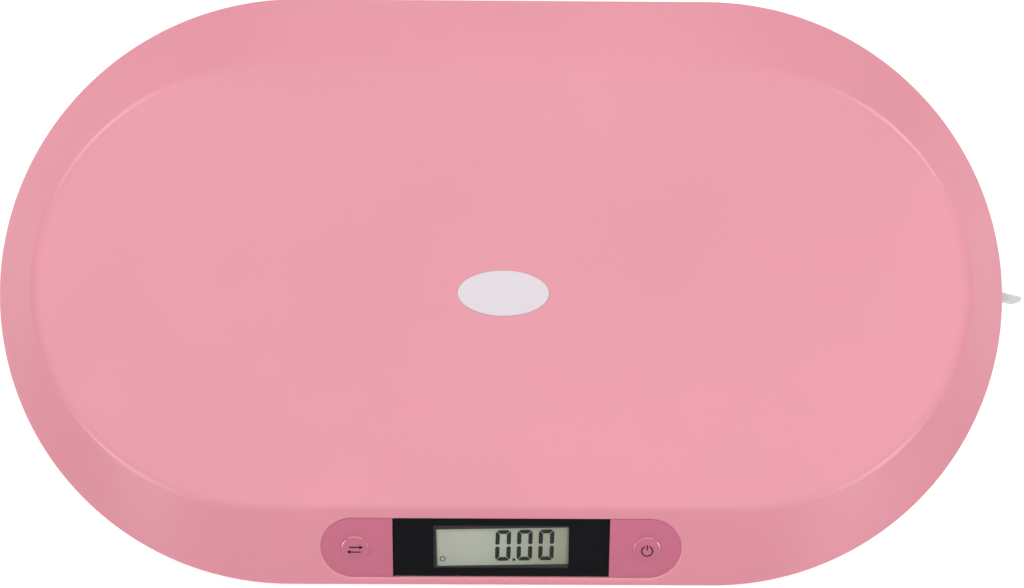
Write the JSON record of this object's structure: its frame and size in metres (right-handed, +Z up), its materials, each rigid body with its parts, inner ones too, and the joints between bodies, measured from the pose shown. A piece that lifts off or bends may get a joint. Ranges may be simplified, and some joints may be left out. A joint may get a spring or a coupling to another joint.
{
  "type": "baby weighing scale",
  "caption": "Low oblong infant scale: shallow dished tray over a slimmer base on four feet, display and two push buttons in the front skirt, pull-out tape at one end",
  "frame": {"origin": "centre of the outer box on the floor plane, 6 mm right of the tray's middle because the tape tab stands out at the right end", "axes": "+X along the tray to the tape tab, +Y to the back edge, -Y side carries the display, +Z up"},
  "size_m": [0.567, 0.325, 0.048],
  "materials": {
    "shell_plastic": "satin moulded",
    "badge_plate": "satin",
    "panel_plastic": "gloss",
    "window": "clear gloss",
    "window_print": "black print",
    "display_frame": "matte",
    "display": "grey-green display",
    "contact_rubber": "matte",
    "circuit_board": "solder mask",
    "potting": "epoxy",
    "connector_plastic": "matte",
    "switch_plastic": "matte",
    "steel": "plated",
    "foot_plastic": "matte",
    "pad_rubber": "matte",
    "cell_can": "satin sleeve",
    "contact_metal": "plated",
    "case_plastic": "matte",
    "reel_plastic": "matte",
    "tape_cloth": "coated cloth",
    "tab_plastic": "satin",
    "wire_jacket": "matte",
    "lead_jacket": "matte"
  },
  "bodies": {
    "scale": {"tray": "shell_plastic", "base": "shell_plastic", "center_badge": "badge_plate", "control_panel": "panel_plastic", "display_lens": "window", "lens_mask": "window_print", "lcd_frame": "display_frame", "lcd_glass": "display", "zebra_strips": "contact_rubber", "main_board": "circuit_board", "cob_chip": "potting", "board_connectors": "connector_plastic", "unit_switch": "switch_plastic", "tare_switch": "switch_plastic", "board_screws": "steel", "load_cell_fl": "steel", "load_cell_fr": "steel", "load_cell_bl": "steel", "load_cell_br": "steel", "strain_gauges": "connector_plastic", "foot_fl": "foot_plastic", "foot_fr": "foot_plastic", "foot_bl": "foot_plastic", "foot_br": "foot_plastic", "foot_pad_fl": "pad_rubber", "foot_pad_fr": "pad_rubber", "foot_pad_bl": "pad_rubber", "foot_pad_br": "pad_rubber", "battery_1": "cell_can", "battery_2": "cell_can", "battery_3": "cell_can", "battery_4": "cell_can", "battery_springs": "contact_metal", "battery_plates": "contact_metal", "tape_case_lower": "case_plastic", "tape_case_upper": "case_plastic", "tape_spring": "steel", "tape_axle": "steel", "tape_outlet": "shell_plastic", "tape_case_screws": "steel", "case_screws": "steel", "sensor_cables": "wire_jacket", "battery_leads": "lead_jacket"},
    "unit_key": {"unit_button": "panel_plastic", "unit_plunger": "connector_plastic"},
    "tare_key": {"tare_button": "panel_plastic", "tare_plunger": "connector_plastic"},
    "bay_door": {"battery_door": "shell_plastic"},
    "tape_drum": {"tape_reel": "reel_plastic", "tape_coil": "tape_cloth"},
    "tape_pull_end": {"tape_tab": "tab_plastic", "tape_blade": "tape_cloth"}
  },
  "joints": [
    {"name": "unit_press", "type": "slide", "parent": "scale", "child": "unit_key", "axis": [0, 0.417, -0.9089], "range_m": [0, 0.0005], "stiffness_N_per_m": 2500, "springref_m": -0.0001},
    {"name": "tare_press", "type": "slide", "parent": "scale", "child": "tare_key", "axis": [0, 0.417, -0.9089], "range_m": [0, 0.0005], "stiffness_N_per_m": 2500, "springref_m": -0.0001},
    {"name": "battery_door_swing", "type": "hinge", "parent": "scale", "child": "bay_door", "pos_m": [-0.006, 0.01595, 0.009], "axis": [-1, 0, 0], "range_deg": [0, 75]},
    {"name": "tape_reel_spin", "type": "hinge", "parent": "scale", "child": "tape_drum", "pos_m": [0.226, 0.0128, 0.018], "axis": [0, 0, 1], "range_deg": [0, 5256], "stiffness_Nm_per_rad": 0.00006, "springref_deg": -5729.58, "deforming": ["tape_spring"]},
    {"name": "tape_pull", "type": "slide", "parent": "scale", "child": "tape_pull_end", "axis": [1, 0, 0], "range_m": [0, 1], "deforming": ["tape_blade"]}
  ],
  "couplings": [
    {"joint": "tape_pull", "follows": "tape_reel_spin", "m_per_rad": 0.0109}
  ]
}
